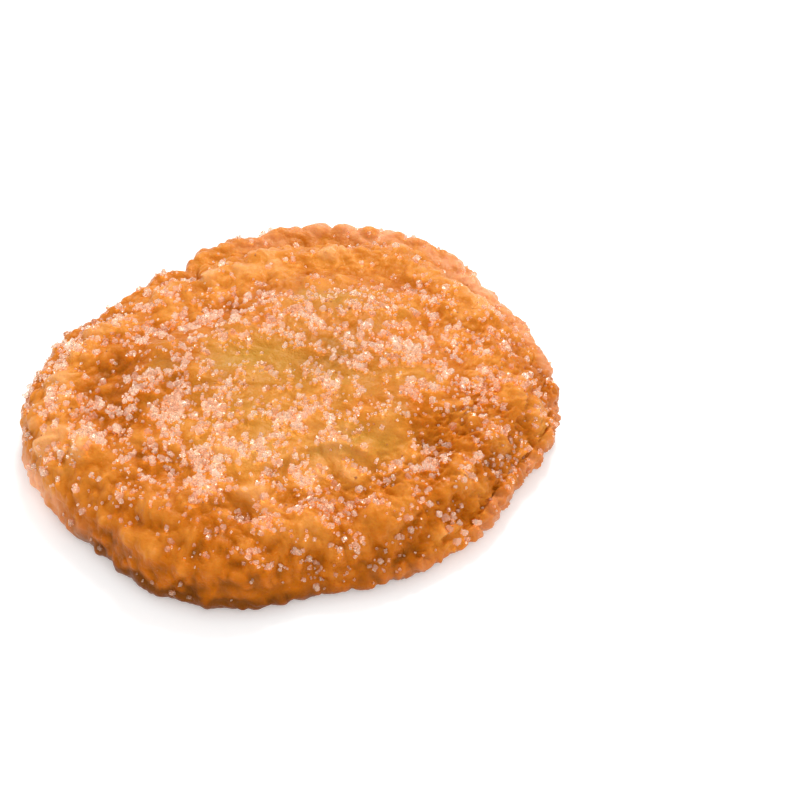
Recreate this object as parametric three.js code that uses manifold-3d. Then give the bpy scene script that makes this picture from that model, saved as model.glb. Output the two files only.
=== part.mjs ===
// An apple fritter: two sheets of dough closed round an apple filling, fried until they
// blister, and tossed in cinnamon sugar. It is whole and uncut, so it is one solid.
// Millimetres, +Z up. It lies on its flat underside, with the origin under the middle of its box.
// The long way of the round lies along X, and -Y is the near side.
import * as THREE from "three";
import { mergeVertices } from "three/addons/utils/BufferGeometryUtils.js";
import Module from "manifold-3d";

const wasm = await Module();
wasm.setup();

const TURN = 2 * Math.PI;
const { degToRad, euclideanModulo, lerp, smoothstep } = THREE.MathUtils;

// Driving dimensions

// How far the edge reaches from the middle, every 20 degrees, anticlockwise from +X
const RIM_REACH = [
  55.3, 55.1, 56.6, 60.4, 59.5, 56.4, 53, 50.8, 53.5, 55, 53.9, 50.2, 50.3, 48.7, 44.3, 46.5, 48.2, 48.9,
];
// The nick at the far left, where one lobe of the edge stops short of the next
const NICK = { bearing: degToRad(120.5), depth: 3.6, width: degToRad(2), shareAtCrest: 0.4 };

// Sizes round the edge, every 45 degrees from +X. The two sheets are sealed in a smooth lip, with a
// groove behind it, and the blistered roll rises from the groove to its crest.
const LIP_WIDTH = [2.2, 4.8, 9.2, 5.6, 2.2, 2.4, 2.8, 2.4];
const LIP_HEIGHT = [6.2, 7.2, 9.2, 8.8, 8.4, 6, 5, 5.2];
const GROOVE_HEIGHT = [6.8, 7.6, 8.2, 9.2, 10, 8.6, 8.2, 6];
const ROLL_WIDTH = [6, 6.2, 6, 6.2, 6.4, 6.2, 5.8, 5.6];
const ROLL_HEIGHT = [12.8, 12.8, 12.2, 13, 14, 13.8, 13, 12.6];

// The rest of the section, from the middle of the top to the middle of the underside.
// The shoulder and the trough lie inwards of the crest, the tuck and the foot inwards of the edge.
// The edge and the tuck stand at a share of the lip's height.
const MIDDLE_HEIGHT = 18.2;
const SHOULDER = { inset: 17, height: 17.2 };
const TROUGH = { inset: 7.5, rise: 0.3 };
const LIP_CROWN = 0.35;
const EDGE_SHARE = 0.6;
const TUCK = { inset: 2.6, share: 0.18 };
const FOOT_INSET = 9;
// The stations of that section, in the order in which it meets them
const STATION = {
  middle: 0,
  shoulder: 1,
  trough: 2,
  crest: 3,
  groove: 4,
  lip: 5,
  edge: 6,
  tuck: 7,
  foot: 8,
  under: 9,
};

// Rounded ribs down the outside of the roll, and broad scallops of the lip. Each is as deep as its
// depth from cleft to crown, about a mean level, and its pitch wanders.
const RIBS = { count: 44, depth: 0.8, wander: [1.3, 3, 0.7, 0.9, 7, 2.1] };
const SCALLOPS = { count: 50, depth: 1, wander: [2.4, 4, 1.9, 1.4, 9, 0.4] };
// How strong the scallops are, every 45 degrees
const SCALLOP_SHARE = [1, 1.3, 1.8, 1.3, 1, 0.7, 0.35, 0.9];
const CROWN_MEAN = 0.6;

// Blisters: caps of puffed dough, crowded on the roll and flatter in the middle
const BLISTERS = [
  { count: 210, from: 1.6, to: 4.5, radius: [3, 5.8], rise: 0.25 },
  { count: 80, from: 0.2, to: 1.6, radius: [2.2, 5], rise: 0.14 },
];
const BLISTER_SPREAD = [0.6, 1.3];
// How far on either side of the groove the blisters and ribs die away, in stations, and what is
// left of the blisters on the lip
const GROOVE_SPREAD = 0.3;
const BLISTERS_ON_LIP = 0.4;

// Slow swells of the whole top, as wavelength and height, and what is left of them on the side
const SWELL_ON_SIDE = 0.6;
const SWELLS = [
  { wavelength: 34, height: 0.55, waves: 9 },
  { wavelength: 13, height: 0.32, waves: 12 },
];
const SWELL_SPREAD = [0.75, 1.35];

// Folds in the upper sheet, each an arc through a start, a pull and an end
const FOLDS = [
  { name: "flap", arc: [-3, -23.5, 7, -14, 18, -21.5], height: 1.1, width: 1.3 },
  { name: "long fold", arc: [-15, -5, 6, -13, 18, -6.5], height: 0.8, width: 2.6 },
  { name: "puffed row", arc: [10, -14, 19, -11, 29, -11.5], height: 0.7, width: 2 },
  { name: "near fold", arc: [-10, -29.5, 8, -29, 23, -23.5], height: 0.9, width: 2.4 },
  { name: "far crease", arc: [-18, 13, 6, 46, 37, 10], height: -0.9, width: 2.6 },
];

// Hollows where the sheet has sunk between the pieces of apple
const HOLLOWS = [
  { x: -7, y: 4, along: 9, across: 5, depth: 0.9 },
  { x: 18.5, y: -17, along: 8, across: 4, depth: 0.8 },
  { x: 7, y: 24, along: 9, across: 4, depth: 0.6 },
  { x: 8.5, y: -1.5, along: 6, across: 3, depth: 0.7 },
  { x: -36, y: 2, along: 4.5, across: 12, depth: 0.6 },
];

// Clumps of sugar large enough to feel, in the drifts where the sugar gathered
const CLUMP_RADIUS = [0.9, 1.9];
const CLUMP_STANDS = 0.3;
const CLUMP_FLATNESS = 0.7;
const CLUMP_TIP = degToRad(34);
const DRIFT_SCATTER = 2;
const DRIFTS = [
  { name: "far", x: 10, y: 13, along: 11, across: 4, clumps: 18 },
  { name: "left", x: -27, y: -7, along: 11, across: 5, clumps: 17 },
  { name: "middle", x: 9, y: -5, along: 7, across: 2.5, clumps: 7 },
  { name: "near", x: 0, y: -27, along: 17, across: 4.5, clumps: 15 },
  { name: "right", x: 37, y: -6, along: 5, across: 11, clumps: 14 },
  { name: "left edge", x: -46, y: 0, along: 2.5, across: 9, clumps: 8 },
];

const DICE_SEED = 20824;
const DOUGH_COLOUR = 0xd88a3c;
const DOUGH_ROUGHNESS = 0.55;

// How finely the solid is cut: the spacing of its points along a ring, and of its rings
const POINT_PITCH = 2.1;
const RING_BEARING = degToRad(90);
const FEWEST_POINTS = 8;
const SLOPE_STEP = 0.01;
const FOLD_STEPS = 80;
const MERGE_DISTANCE = 1e-4;

// A plain linear congruential generator, so that every run throws the same dice
class Dice {
  constructor(seed) {
    this.state = seed;
  }
  roll(low = 0, high = 1) {
    this.state = (Math.imul(1664525, this.state) + 1013904223) >>> 0;
    return low + ((high - low) * this.state) / 2 ** 32;
  }
  // A rough bell curve between -1 and 1
  bell() {
    return (this.roll(-1) + this.roll(-1) + this.roll(-1)) / 3;
  }
}

// Plan

// A size that changes round the edge: a closed Catmull-Rom curve through evenly spaced values
function roundAt(values, bearing) {
  const count = values.length;
  const along = (euclideanModulo(bearing, TURN) / TURN) * count;
  const first = Math.floor(along);
  const [before, here, next, after] = [-1, 0, 1, 2].map((step) => values[(first + step + count) % count]);
  const share = along - first;
  const bend = 2 * before - 5 * here + 4 * next - after + share * (3 * (here - next) + after - before);
  return here + 0.5 * share * (next - before + share * bend);
}

// One rounded lobe after another, in and out about its mean level, at an uneven pitch
function lobesAt(bearing, { count, depth, wander }) {
  const [swing, turns, start, smallSwing, smallTurns, smallStart] = wander;
  const slow = swing * Math.sin(turns * bearing + start);
  const quick = smallSwing * Math.sin(smallTurns * bearing + smallStart);
  return depth * (Math.sqrt(Math.abs(Math.sin((count * bearing + slow + quick) / 2))) - CROWN_MEAN);
}

function nickAt(bearing) {
  const away = euclideanModulo(bearing - NICK.bearing + Math.PI, TURN) - Math.PI;
  return NICK.depth * Math.exp(-((away / NICK.width) ** 2));
}

// Section

function sectionAt(bearing) {
  const reach = roundAt(RIM_REACH, bearing);
  const edge = reach - nickAt(bearing);
  const lip = roundAt(LIP_HEIGHT, bearing);
  const lipWidth = roundAt(LIP_WIDTH, bearing);
  const roll = roundAt(ROLL_HEIGHT, bearing);
  const crest = lerp(reach, edge, NICK.shareAtCrest) - lipWidth - roundAt(ROLL_WIDTH, bearing);
  const points = [
    [0, MIDDLE_HEIGHT],
    [crest - SHOULDER.inset, SHOULDER.height],
    [crest - TROUGH.inset, roll + TROUGH.rise],
    [crest, roll],
    [edge - lipWidth, roundAt(GROOVE_HEIGHT, bearing)],
    [edge - LIP_CROWN * lipWidth, lip],
    [edge, EDGE_SHARE * lip],
    [edge - TUCK.inset, TUCK.share * lip],
    [edge - FOOT_INSET, 0],
    [0, 0],
  ];
  return new THREE.CatmullRomCurve3(points.map(([radius, height]) => new THREE.Vector3(radius, 0, height)));
}

// A point of the plain dough, before it blisters
function plainPoint(bearing, station) {
  const { x: radius, z: height } = sectionAt(bearing).getPoint(station / STATION.under);
  const out = Math.max(radius, 0);
  return new THREE.Vector3(out * Math.cos(bearing), out * Math.sin(bearing), Math.max(height, 0));
}

function outwardAt(bearing, station) {
  if (station === STATION.middle) return new THREE.Vector3(0, 0, 1);
  const round = plainPoint(bearing + SLOPE_STEP, station).sub(plainPoint(bearing - SLOPE_STEP, station));
  const along = plainPoint(bearing, station + SLOPE_STEP).sub(plainPoint(bearing, station - SLOPE_STEP));
  return along.cross(round).normalize();
}

// Relief

const dice = new Dice(DICE_SEED);

const blisters = BLISTERS.flatMap(({ count, from, to, radius, rise }) =>
  Array.from({ length: count }, () => {
    const middle = plainPoint(dice.roll(0, TURN), dice.roll(from, to));
    const size = dice.roll(...radius);
    return { middle, size, height: size * rise * dice.roll(...BLISTER_SPREAD) };
  }),
);

const swells = SWELLS.flatMap(({ wavelength, height, waves }) =>
  Array.from({ length: waves }, () => {
    const way = new THREE.Vector3(dice.bell(), dice.bell(), dice.bell()).normalize();
    return {
      way: way.multiplyScalar(TURN / (wavelength * dice.roll(...SWELL_SPREAD))),
      start: dice.roll(0, TURN),
      height: height * Math.sqrt(2 / waves),
    };
  }),
);

const folds = FOLDS.map(({ arc, height, width }) => {
  const [startX, startY, pullX, pullY, endX, endY] = arc;
  const curve = new THREE.QuadraticBezierCurve(
    new THREE.Vector2(startX, startY),
    new THREE.Vector2(pullX, pullY),
    new THREE.Vector2(endX, endY),
  );
  return { line: curve.getPoints(FOLD_STEPS), height, width };
});

// Soft caps that run into one another, as the root of the sum of their squares
function blisterLift(point) {
  const squares = blisters.reduce((sum, { middle, size, height }) => {
    const away = point.distanceToSquared(middle) / size ** 2;
    return away < 1 ? sum + (height * (1 - away) ** 2) ** 2 : sum;
  }, 0);
  return Math.sqrt(squares);
}

function swellLift(point) {
  return swells.reduce((sum, { way, start, height }) => sum + height * Math.sin(way.dot(point) + start), 0);
}

function foldLift(point) {
  const plan = new THREE.Vector2(point.x, point.y);
  return folds.reduce((sum, { line, height, width }) => {
    const away = Math.sqrt(Math.min(...line.map((step) => step.distanceToSquared(plan))));
    return sum + height * Math.exp(-((away / width) ** 2));
  }, 0);
}

function hollowDrop(point) {
  return HOLLOWS.reduce((sum, { x, y, along, across, depth }) => {
    const away = ((point.x - x) / along) ** 2 + ((point.y - y) / across) ** 2;
    return sum + depth * Math.exp(-away);
  }, 0);
}

// How far a point of the plain dough is pushed out along its own normal
function reliefAt(bearing, station, point) {
  const onTop = 1 - smoothstep(station, STATION.trough, STATION.groove);
  const pastGroove = smoothstep(station, STATION.groove - GROOVE_SPREAD, STATION.groove + GROOVE_SPREAD);
  const onFace = smoothstep(station, STATION.trough, STATION.groove) * (1 - pastGroove);
  const offFloor = 1 - smoothstep(station, STATION.edge, STATION.foot);
  const ribs = lobesAt(bearing, RIBS) * onFace;
  const onEdge = roundAt(SCALLOP_SHARE, bearing) * smoothstep(station, STATION.groove, STATION.edge);
  const scallops = lobesAt(bearing, SCALLOPS) * onEdge;
  const sheet = (foldLift(point) - hollowDrop(point)) * onTop;
  const blister = blisterLift(point) * lerp(1, BLISTERS_ON_LIP, pastGroove);
  const swell = swellLift(point) * lerp(SWELL_ON_SIDE, 1, onTop);
  return offFloor * (blister + swell + ribs + scallops + sheet);
}

function doughPoint(bearing, station) {
  const point = plainPoint(bearing, station);
  const lift = reliefAt(bearing, station, point);
  point.addScaledVector(outwardAt(bearing, station), lift);
  point.z = Math.max(point.z, 0);
  return point;
}

// Solids

// The rings between the middle of the top and the middle of the underside, evenly spaced where the
// lip is widest
function ringStations() {
  const spans = Array.from({ length: STATION.foot }, (_, span) => span);
  return spans
    .flatMap((span) => {
      const length = plainPoint(RING_BEARING, span).distanceTo(plainPoint(RING_BEARING, span + 1));
      const rings = Math.max(1, Math.round(length / POINT_PITCH));
      return Array.from({ length: rings }, (_, ring) => span + ring / rings);
    })
    .slice(1)
    .concat(STATION.foot);
}

function ringPoints(station) {
  const count = Math.max(FEWEST_POINTS, Math.round((TURN * plainPoint(0, station).x) / POINT_PITCH));
  return Array.from({ length: count }, (_, index) => doughPoint((index / count) * TURN, station));
}

// Joins two rings of any number of points, stepping along whichever lags behind
function zipRings(first, second) {
  const faces = [];
  let one = first.length === 1 ? 1 : 0;
  let two = second.length === 1 ? 1 : 0;
  while (one < first.length || two < second.length) {
    const corner = first[one % first.length];
    const across = second[two % second.length];
    if ((two + 1) * first.length <= (one + 1) * second.length) {
      two += 1;
      faces.push(corner, across, second[two % second.length]);
    } else {
      one += 1;
      faces.push(corner, across, first[one % first.length]);
    }
  }
  return faces;
}

function doughGeometry() {
  const points = [doughPoint(0, STATION.middle)];
  const rings = ringStations().map((station) => ringPoints(station).map((point) => points.push(point) - 1));
  const under = points.push(new THREE.Vector3(0, 0, 0)) - 1;
  const loops = [[0], ...rings, [under]];
  const faces = loops.slice(1).flatMap((loop, index) => zipRings(loops[index], loop));
  return new THREE.BufferGeometry().setFromPoints(points).setIndex(faces);
}

// The station on the top at a plan distance from the middle
function stationAt(bearing, distance) {
  let [near, far] = [STATION.middle, STATION.lip];
  while (far - near > SLOPE_STEP) {
    const half = (near + far) / 2;
    const reached = Math.hypot(...plainPoint(bearing, half).toArray().slice(0, 2));
    if (reached < distance) near = half;
    else far = half;
  }
  return near;
}

// One lump of stuck crystals, part of it sunk in the dough
function clumpGeometry({ x, y, along, across }) {
  const radius = dice.roll(...CLUMP_RADIUS);
  const planX = x + along * DRIFT_SCATTER * dice.bell();
  const planY = y + across * DRIFT_SCATTER * dice.bell();
  const bearing = Math.atan2(planY, planX);
  const station = stationAt(bearing, Math.hypot(planX, planY));
  const seat = doughPoint(bearing, station);
  seat.addScaledVector(outwardAt(bearing, station), radius * CLUMP_STANDS);
  return new THREE.IcosahedronGeometry(radius, 0)
    .scale(1, dice.roll(CLUMP_FLATNESS, 1), CLUMP_FLATNESS)
    .rotateX(dice.roll(0, CLUMP_TIP))
    .rotateZ(dice.roll(0, TURN))
    .translate(...seat.toArray());
}

function solidOf(geometry) {
  const bare = geometry.clone();
  bare.deleteAttribute("normal");
  bare.deleteAttribute("uv");
  const merged = mergeVertices(bare, MERGE_DISTANCE);
  const vertProperties = new Float32Array(merged.attributes.position.array);
  const triVerts = new Uint32Array(merged.index.array);
  return new wasm.Manifold(new wasm.Mesh({ numProp: 3, vertProperties, triVerts }));
}

function geometryOf(solid) {
  const { vertProperties, triVerts } = solid.getMesh();
  const geometry = new THREE.BufferGeometry();
  geometry.setAttribute("position", new THREE.BufferAttribute(vertProperties, 3));
  geometry.setIndex(new THREE.BufferAttribute(triVerts, 1));
  geometry.computeVertexNormals();
  return geometry;
}

// The dough with its sugar clumps fused on, without scraps and with any sealed pocket filled
function fritterGeometry() {
  const clumps = DRIFTS.flatMap((drift) =>
    Array.from({ length: drift.clumps }, () => clumpGeometry(drift)),
  );
  const fused = clumps.reduce((whole, clump) => whole.add(solidOf(clump)), solidOf(doughGeometry()));
  const largest = fused.decompose().reduce((a, b) => (a.volume() > b.volume() ? a : b));
  const geometry = geometryOf(largest);
  geometry.computeBoundingBox();
  const { min, max } = geometry.boundingBox;
  return geometry.translate(-(min.x + max.x) / 2, -(min.y + max.y) / 2, -min.z);
}

const dough = new THREE.MeshStandardMaterial({ color: DOUGH_COLOUR, roughness: DOUGH_ROUGHNESS });
const fritter = new THREE.Mesh(fritterGeometry(), dough);
fritter.name = "fritter";

const part = new THREE.Group();
part.add(fritter);

export default part;
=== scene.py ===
"""The looks of a whole apple fritter: blistered fried dough under a coat of cinnamon sugar.

Sizes are in millimetres. The plan of the dough has +X along its long way and -Y on its near side,
and a bearing turns anticlockwise from +X. A mesh becomes metres, in its place, when it is made.
"""

import logging
import math
from dataclasses import dataclass, field
from enum import IntEnum

import bmesh
import bpy
import numpy as np
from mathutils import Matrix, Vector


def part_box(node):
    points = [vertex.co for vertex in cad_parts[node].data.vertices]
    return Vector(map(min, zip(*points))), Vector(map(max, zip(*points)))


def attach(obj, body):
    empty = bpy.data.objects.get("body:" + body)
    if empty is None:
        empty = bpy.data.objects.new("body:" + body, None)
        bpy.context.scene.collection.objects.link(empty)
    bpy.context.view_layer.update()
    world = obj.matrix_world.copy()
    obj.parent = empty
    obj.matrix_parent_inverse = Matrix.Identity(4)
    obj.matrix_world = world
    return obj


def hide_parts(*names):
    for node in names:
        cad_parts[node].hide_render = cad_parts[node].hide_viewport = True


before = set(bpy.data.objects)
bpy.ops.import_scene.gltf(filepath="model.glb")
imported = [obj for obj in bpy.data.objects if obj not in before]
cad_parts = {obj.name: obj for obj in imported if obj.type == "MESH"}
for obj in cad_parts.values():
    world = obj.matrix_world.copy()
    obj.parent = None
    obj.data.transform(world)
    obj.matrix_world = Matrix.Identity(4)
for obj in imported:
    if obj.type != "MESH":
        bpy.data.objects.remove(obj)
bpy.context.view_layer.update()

Array = np.ndarray
Pair = tuple[float, float]
Sizes = tuple[float, ...]
Colour = tuple[float, float, float]
Cap = tuple[Array, float, float]
Wave = tuple[Array, float, float]
Piece = bpy.types.Object
Material = bpy.types.Material
Socket = bpy.types.NodeSocket
Value = Socket | float | Colour
Sockets = dict[str | int, Value]
LOG = logging.getLogger("fritter")
MM = 0.001
TURN = 2 * math.pi
TINY = 1e-9
WHITE: Colour = (1.0, 1.0, 1.0)


class Station(IntEnum):
    """The points of the dough's section, from the middle of the top to that of the underside."""

    MIDDLE = 0
    SHOULDER = 1
    TROUGH = 2
    CREST = 3
    GROOVE = 4
    LIP = 5
    EDGE = 6
    TUCK = 7
    FOOT = 8
    UNDER = 9


# Arithmetic shared by the pieces


class Dice:
    """A linear congruential generator that throws the same dice as the solid's own."""

    FACTOR = 1664525
    STEP = 1013904223
    SIDES = 2**32

    def __init__(self, seed: int) -> None:
        """Starts from a seed."""
        self.state = seed

    def roll(self, low: float = 0.0, high: float = 1.0) -> float:
        """An even draw between two numbers."""
        self.state = (self.FACTOR * self.state + self.STEP) % self.SIDES
        return low + (high - low) * self.state / self.SIDES

    def bell(self) -> float:
        """A rough bell curve between -1 and 1, as the mean of three even draws."""
        return (self.roll(-1) + self.roll(-1) + self.roll(-1)) / 3


def smoothstep(value: Array, low: float, high: float) -> Array:
    """Rises smoothly from 0 at low to 1 at high, as 3t^2 - 2t^3."""
    share = np.clip((value - low) / (high - low), 0, 1)
    return share * share * (3 - 2 * share)


def length(vectors: Array) -> Array:
    """The length of each vector, never quite 0."""
    return np.maximum(np.linalg.norm(vectors, axis=-1, keepdims=True), TINY)


def unit(vectors: Array) -> Array:
    """Each vector divided by its own length."""
    return vectors / length(vectors)


class Ripple:
    """Smooth noise: a sum of plane waves of about one wavelength, with a spread of about 1."""

    WAVES = 28
    LENGTHS = (0.7, 1.5)

    def __init__(self, wavelength: float, seed: int) -> None:
        """Draws the waves.

        Args:
            wavelength: Mean length of a wave, in millimetres.
            seed: Seed of the draws.
        """
        draws = np.random.default_rng(seed)
        ways = unit(draws.normal(size=(self.WAVES, 3)))
        lengths = wavelength * draws.uniform(*self.LENGTHS, (self.WAVES, 1))
        self.ways = TURN * ways / lengths
        self.starts = draws.uniform(0, TURN, self.WAVES)
        self.height = math.sqrt(2 / self.WAVES)

    def at(self, points: Array) -> Array:
        """The noise at an array of points."""
        return np.sin(points @ self.ways.T + self.starts).sum(axis=1) * self.height


# The dough's shape


def round_at(values: Sizes, bearing: Array) -> Array:
    """A size that changes round the edge: a closed Catmull-Rom curve through evenly spaced values.

    Args:
        values: The sizes, anticlockwise from +X.
        bearing: One for each point.

    Returns:
        The size at each bearing.
    """
    count = len(values)
    along = (bearing % TURN) / TURN * count
    first = np.floor(along).astype(int)
    share = along - first
    before, here, after, last = (np.array(values)[(first + step) % count] for step in (-1, 0, 1, 2))
    bend = 2 * before - 5 * here + 4 * after - last + share * (3 * (here - after) + last - before)
    return here + 0.5 * share * (after - before + share * bend)


def bell(bearing: Array, middle: float, spread: float) -> Array:
    """From 1 at a middle bearing down to 0 away from it, as a bell curve; both in degrees."""
    away = (bearing - math.radians(middle) + math.pi) % TURN - math.pi
    return np.exp(-((away / math.radians(spread)) ** 2))


@dataclass(frozen=True)
class Section:
    """The upright section through the middle at each bearing, before the dough blisters.

    The reaches are 20 degrees apart and the other sizes round the edge 45, anticlockwise from +X.
    A place is the middle and spread of a bell over bearings, in degrees.
    Two sheets are sealed in a smooth lip, with a groove behind it, and the blistered roll rises from
    the groove to its crest. The shoulder and the trough lie inwards of the crest.
    """

    reach: Sizes = (
        55.3, 55.1, 56.6, 60.4, 59.5, 56.4, 53, 50.8, 53.5,
        55, 53.9, 50.2, 50.3, 48.7, 44.3, 46.5, 48.2, 48.9,
    )
    nick_place: Pair = (120.5, 2)
    nick_depth: float = 3.6
    nick_at_crest: float = 0.4
    lip_width: Sizes = (2.2, 4.8, 9.2, 5.6, 2.2, 2.4, 2.8, 2.4)
    lip_height: Sizes = (6.2, 7.2, 9.2, 8.8, 8.4, 6, 5, 5.2)
    groove_height: Sizes = (6.8, 7.6, 8.2, 9.2, 10, 8.6, 8.2, 6)
    roll_width: Sizes = (6, 6.2, 6, 6.2, 6.4, 6.2, 5.8, 5.6)
    roll_height: Sizes = (12.8, 12.8, 12.2, 13, 14, 13.8, 13, 12.6)
    middle_height: float = 18.2
    shoulder_inset: float = 17
    shoulder_height: float = 17.2
    trough_inset: float = 7.5
    trough_rise: float = 0.3
    lip_crown: float = 0.35
    edge_share: float = 0.6
    tuck_inset: float = 2.6
    tuck_share: float = 0.18
    foot_inset: float = 9
    slope_step: float = 0.01

    def knots(self, bearing: Array) -> Array:
        """The section's stations.

        Args:
            bearing: One for each point.

        Returns:
            Radius and height of each station, as stations x points x 2.
        """
        reach = round_at(self.reach, bearing)
        nick = self.nick_depth * bell(bearing, *self.nick_place)
        edge = reach - nick
        lip = round_at(self.lip_height, bearing)
        lip_width = round_at(self.lip_width, bearing)
        roll = round_at(self.roll_height, bearing)
        crest = reach - nick * self.nick_at_crest - lip_width - round_at(self.roll_width, bearing)
        level = np.zeros_like(reach)
        pairs = [
            (level, level + self.middle_height),
            (crest - self.shoulder_inset, level + self.shoulder_height),
            (crest - self.trough_inset, roll + self.trough_rise),
            (crest, roll),
            (edge - lip_width, round_at(self.groove_height, bearing)),
            (edge - self.lip_crown * lip_width, lip),
            (edge, self.edge_share * lip),
            (edge - self.tuck_inset, self.tuck_share * lip),
            (edge - self.foot_inset, level),
            (level, level),
        ]
        return np.stack([np.stack(pair, axis=-1) for pair in pairs])

    def points(self, bearing: Array, station: Array) -> Array:
        """Points of the plain dough: a centripetal Catmull-Rom curve through the stations.

        Args:
            bearing: One for each point.
            station: How far along the section each point is, in stations.

        Returns:
            The points, as points x 3.
        """
        knots = self.knots(bearing)
        padded = np.concatenate([2 * knots[:1] - knots[1:2], knots, 2 * knots[-1:] - knots[-2:-1]])
        span = np.clip(np.floor(station).astype(int), 0, Station.FOOT)
        share = (station - span)[:, None]
        column = np.arange(len(station))
        before, start, end, after = (padded[span + step, column] for step in range(4))
        into, over, onward = start - before, end - start, after - end
        first, middle, last = (np.sqrt(length(step)) for step in (into, over, onward))
        leave = middle * (into / first - (end - before) / (first + middle) + over / middle)
        arrive = middle * (over / middle - (after - start) / (middle + last) + onward / last)
        square = -3 * start + 3 * end - 2 * leave - arrive
        cube = 2 * start - 2 * end + leave + arrive
        radius, height = np.maximum(start + share * (leave + share * (square + share * cube)), 0).T
        return np.stack([radius * np.cos(bearing), radius * np.sin(bearing), height], axis=-1)

    def outward(self, bearing: Array, station: Array) -> Array:
        """The plain dough's normals, from its slopes along the section and round it.

        Args:
            bearing: One for each point.
            station: One for each point.

        Returns:
            The normals, as points x 3.
        """
        step = self.slope_step
        around = self.points(bearing + step, station) - self.points(bearing - step, station)
        along = self.points(bearing, station + step) - self.points(bearing, np.maximum(station - step, 0))
        normals = unit(np.cross(along, around))
        return np.where((station == Station.MIDDLE)[:, None], [0.0, 0.0, 1.0], normals)


@dataclass(frozen=True)
class Lobes:
    """Rounded lobes side by side round the edge, at an uneven pitch."""

    count: int
    depth: float
    wander: Sizes
    mean: float = 0.6

    def lift(self, bearing: Array) -> Array:
        """In and out about a mean level, as the root of a rectified sine from cleft to crown.

        Args:
            bearing: One for each point.

        Returns:
            The lift at each bearing, in millimetres.
        """
        swing, turns, start, small_swing, small_turns, small_start = self.wander
        uneven = swing * np.sin(turns * bearing + start)
        uneven = uneven + small_swing * np.sin(small_turns * bearing + small_start)
        return self.depth * (np.sqrt(np.abs(np.sin((self.count * bearing + uneven) / 2))) - self.mean)


@dataclass(frozen=True)
class BlisterCrop:
    """A crop of puffed caps between two stations; rise is a cap's height over its radius."""

    count: int
    first: float
    last: float
    radius: Pair
    rise: float


@dataclass(frozen=True)
class Fold:
    """A fold of the upper sheet: an arc from a start to an end, drawn towards a pull."""

    CHORDS = 32

    start: Pair
    pull: Pair
    end: Pair
    height: float
    width: float

    def lift(self, points: Array) -> Array:
        """A bell curve of the distance in plan to the quadratic Bezier arc, cut into short chords.

        Args:
            points: The points on the plain dough.

        Returns:
            The lift at each point, in millimetres.
        """
        share = np.linspace(0, 1, self.CHORDS + 1)[:, None]
        line = (1 - share) ** 2 * self.start + 2 * share * (1 - share) * self.pull + share**2 * self.end
        away = np.full(len(points), np.inf)
        for start, step in zip(line[:-1], np.diff(line, axis=0)):
            offset = points[:, :2] - start
            along = np.clip(offset @ step / (step @ step), 0, 1)
            away = np.minimum(away, ((offset - along[:, None] * step) ** 2).sum(axis=1))
        return self.height * np.exp(-away / self.width**2)


@dataclass(frozen=True)
class Patch:
    """An oval place in the plan, strongest in its middle."""

    x: float
    y: float
    along: float
    across: float
    amount: float

    def at(self, points: Array) -> Array:
        """The amount as a bell curve about the place's middle."""
        away = ((points[:, 0] - self.x) / self.along) ** 2 + ((points[:, 1] - self.y) / self.across) ** 2
        return self.amount * np.exp(-away)


def patches(*rows: Sizes) -> tuple[Patch, ...]:
    """A patch for each row of its x, y, along, across and amount."""
    return tuple(Patch(*row) for row in rows)


def total(places: tuple[Patch, ...], points: Array) -> Array:
    """The amounts of all the places together."""
    return sum(place.at(points) for place in places)


# Blisters, the large ones as the solid has them
ROLL_BLISTERS = BlisterCrop(count=210, first=1.6, last=4.5, radius=(3, 5.8), rise=0.25)
SHEET_BLISTERS = BlisterCrop(count=80, first=0.2, last=1.6, radius=(2.2, 5), rise=0.14)
SMALL_ROLL_BLISTERS = BlisterCrop(count=800, first=1.6, last=5.8, radius=(1.0, 2.4), rise=0.18)
SMALL_SHEET_BLISTERS = BlisterCrop(count=220, first=0.1, last=1.6, radius=(0.9, 2.2), rise=0.12)
# Large bulbs on the near left of the roll: bearing in degrees, station and radius
BULBS = (
    (188, 3.7, 2.4), (195.5, 3.65, 2.6), (204.5, 3.6, 2.4), (212, 3.7, 2.4), (222.5, 3.8, 3.2),
    (224, 4.6, 2.4), (230.5, 3.8, 3), (238.5, 3.8, 3), (247, 3.95, 2.4), (221.5, 3.15, 3.4),
    (201, 2.7, 3.4),
)
BULB_RISE = 0.4
# Folds of the upper sheet, the last one sunk
FOLDS = (
    Fold((-3, -23.5), (7, -14), (18, -21.5), height=1.1, width=1.3),
    Fold((-15, -5), (6, -13), (18, -6.5), height=0.8, width=2.6),
    Fold((10, -14), (19, -11), (29, -11.5), height=0.7, width=2),
    Fold((-10, -29.5), (8, -29), (23, -23.5), height=0.9, width=2.4),
    Fold((-18, 13), (6, 46), (37, 10), height=-0.9, width=2.6),
)
# Where the upper sheet sinks: its thin, smooth windows, and the trough on the left
WINDOWS = patches(
    (-7, 4, 9, 5, 0.9), (18.5, -17, 8, 4, 0.8), (7, 24, 9, 4, 0.6), (8.5, -1.5, 6, 3, 0.7),
)
HOLLOWS = (*WINDOWS, Patch(-36, 2, 4.5, 12, 0.6))
# Thin creases of the upper sheet, too fine for the solid
CREASES = (
    Fold((-20, -2), (-2, -1), (13, -4), height=0.3, width=0.7),
    Fold((-14, -11), (4, -15), (20, -9.5), height=0.35, width=0.8),
    Fold((-9, -16), (2, -18), (12, -13), height=0.3, width=0.7),
    Fold((-2, -21.5), (8, -16.5), (16, -21), height=-0.5, width=0.7),
    Fold((14, -24), (24, -24), (31, -17), height=0.4, width=0.9),
    Fold((20, 6), (28, 9), (33, 1), height=0.4, width=0.9),
    Fold((-6, 21), (8, 27), (24, 19), height=0.35, width=0.9),
    Fold((-14, -33), (4, -37), (20, -34), height=-0.45, width=0.9),
)


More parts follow.
